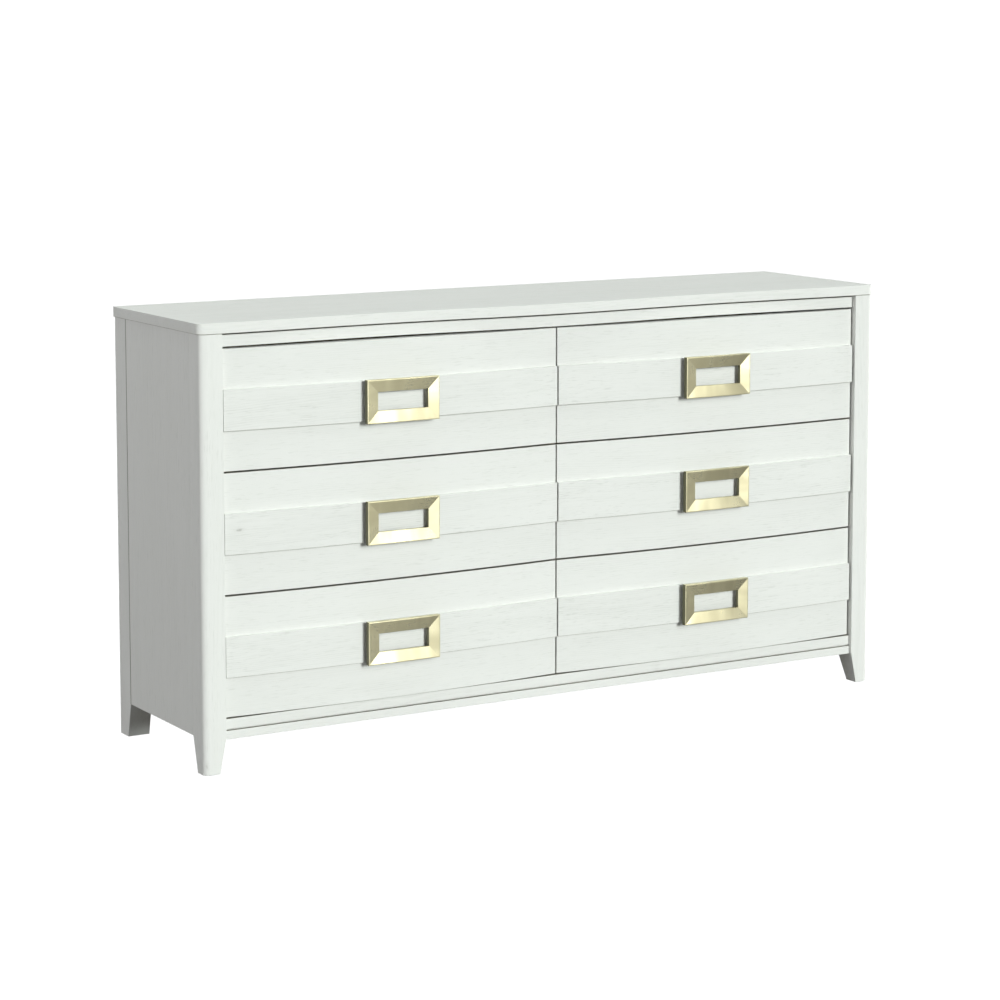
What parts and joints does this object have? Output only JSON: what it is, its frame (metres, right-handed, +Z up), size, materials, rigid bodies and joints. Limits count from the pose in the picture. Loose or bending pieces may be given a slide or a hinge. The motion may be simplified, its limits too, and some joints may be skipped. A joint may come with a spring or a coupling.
{
  "type": "dresser",
  "caption": "Low, wide dresser in brushed white oak with bowed drawer fronts, applied bands and bevelled brass frame pulls; its drawers slide out on ball-bearing runners.",
  "frame": {"origin": "on the floor, at the centre of the overall footprint with the pulls", "axes": "+X along the width, +Y towards the back, +Z up; the drawers open towards -Y"},
  "size_m": [1.676, 0.451, 0.914],
  "materials": {
    "oak": "brushed white oak veneer, pale lime wash, matt lacquer",
    "back_board": "thin pale fibreboard, matt",
    "birch": "clear satin birch plywood",
    "brass": "brushed pale champagne brass",
    "zinc_steel": "bright zinc plated, folded sheet",
    "glide_plastic": "moulded dark nylon"
  },
  "bodies": {
    "case": {"top_panel": "oak", "leg_front_left": "oak", "leg_front_right": "oak", "leg_rear_left": "oak", "leg_rear_right": "oak", "side_panel_left": "oak", "side_panel_right": "oak", "back_panel": "back_board", "rail_top_front": "oak", "rail_bottom_front": "oak", "apron_front": "oak", "rear_rails": "birch", "centre_partition": "birch", "divider_rails": "birch", "bottom_panel": "birch", "slide_spacers": "birch", "slide_cabinet_members": "zinc_steel", "foot_glides": "glide_plastic"},
    "drawer_1": {"drawer_1_front": "oak", "drawer_1_band": "oak", "drawer_1_pull": "brass", "drawer_1_box": "birch", "drawer_1_bottom": "birch", "drawer_1_slide_runner": "zinc_steel"},
    "drawer_1_slides": {"drawer_1_slide_middle": "zinc_steel"},
    "drawer_2": {"drawer_2_front": "oak", "drawer_2_band": "oak", "drawer_2_pull": "brass", "drawer_2_box": "birch", "drawer_2_bottom": "birch", "drawer_2_slide_runner": "zinc_steel"},
    "drawer_2_slides": {"drawer_2_slide_middle": "zinc_steel"},
    "drawer_3": {"drawer_3_front": "oak", "drawer_3_band": "oak", "drawer_3_pull": "brass", "drawer_3_box": "birch", "drawer_3_bottom": "birch", "drawer_3_slide_runner": "zinc_steel"},
    "drawer_3_slides": {"drawer_3_slide_middle": "zinc_steel"},
    "drawer_4": {"drawer_4_front": "oak", "drawer_4_band": "oak", "drawer_4_pull": "brass", "drawer_4_box": "birch", "drawer_4_bottom": "birch", "drawer_4_slide_runner": "zinc_steel"},
    "drawer_4_slides": {"drawer_4_slide_middle": "zinc_steel"},
    "drawer_5": {"drawer_5_front": "oak", "drawer_5_band": "oak", "drawer_5_pull": "brass", "drawer_5_box": "birch", "drawer_5_bottom": "birch", "drawer_5_slide_runner": "zinc_steel"},
    "drawer_5_slides": {"drawer_5_slide_middle": "zinc_steel"},
    "drawer_6": {"drawer_6_front": "oak", "drawer_6_band": "oak", "drawer_6_pull": "brass", "drawer_6_box": "birch", "drawer_6_bottom": "birch", "drawer_6_slide_runner": "zinc_steel"},
    "drawer_6_slides": {"drawer_6_slide_middle": "zinc_steel"}
  },
  "joints": [
    {"name": "drawer_1_pull_out", "type": "slide", "parent": "case", "child": "drawer_1", "axis": [0, -1, 0], "range_m": [0, 0.34]},
    {"name": "drawer_1_slides_follow", "type": "slide", "parent": "case", "child": "drawer_1_slides", "axis": [0, -1, 0], "range_m": [0, 0.17]},
    {"name": "drawer_2_pull_out", "type": "slide", "parent": "case", "child": "drawer_2", "axis": [0, -1, 0], "range_m": [0, 0.34]},
    {"name": "drawer_2_slides_follow", "type": "slide", "parent": "case", "child": "drawer_2_slides", "axis": [0, -1, 0], "range_m": [0, 0.17]},
    {"name": "drawer_3_pull_out", "type": "slide", "parent": "case", "child": "drawer_3", "axis": [0, -1, 0], "range_m": [0, 0.34]},
    {"name": "drawer_3_slides_follow", "type": "slide", "parent": "case", "child": "drawer_3_slides", "axis": [0, -1, 0], "range_m": [0, 0.17]},
    {"name": "drawer_4_pull_out", "type": "slide", "parent": "case", "child": "drawer_4", "axis": [0, -1, 0], "range_m": [0, 0.34]},
    {"name": "drawer_4_slides_follow", "type": "slide", "parent": "case", "child": "drawer_4_slides", "axis": [0, -1, 0], "range_m": [0, 0.17]},
    {"name": "drawer_5_pull_out", "type": "slide", "parent": "case", "child": "drawer_5", "axis": [0, -1, 0], "range_m": [0, 0.34]},
    {"name": "drawer_5_slides_follow", "type": "slide", "parent": "case", "child": "drawer_5_slides", "axis": [0, -1, 0], "range_m": [0, 0.17]},
    {"name": "drawer_6_pull_out", "type": "slide", "parent": "case", "child": "drawer_6", "axis": [0, -1, 0], "range_m": [0, 0.34]},
    {"name": "drawer_6_slides_follow", "type": "slide", "parent": "case", "child": "drawer_6_slides", "axis": [0, -1, 0], "range_m": [0, 0.17]}
  ],
  "couplings": [
    {"joint": "drawer_1_slides_follow", "follows": "drawer_1_pull_out", "ratio": 0.5},
    {"joint": "drawer_2_slides_follow", "follows": "drawer_2_pull_out", "ratio": 0.5},
    {"joint": "drawer_3_slides_follow", "follows": "drawer_3_pull_out", "ratio": 0.5},
    {"joint": "drawer_4_slides_follow", "follows": "drawer_4_pull_out", "ratio": 0.5},
    {"joint": "drawer_5_slides_follow", "follows": "drawer_5_pull_out", "ratio": 0.5},
    {"joint": "drawer_6_slides_follow", "follows": "drawer_6_pull_out", "ratio": 0.5}
  ]
}
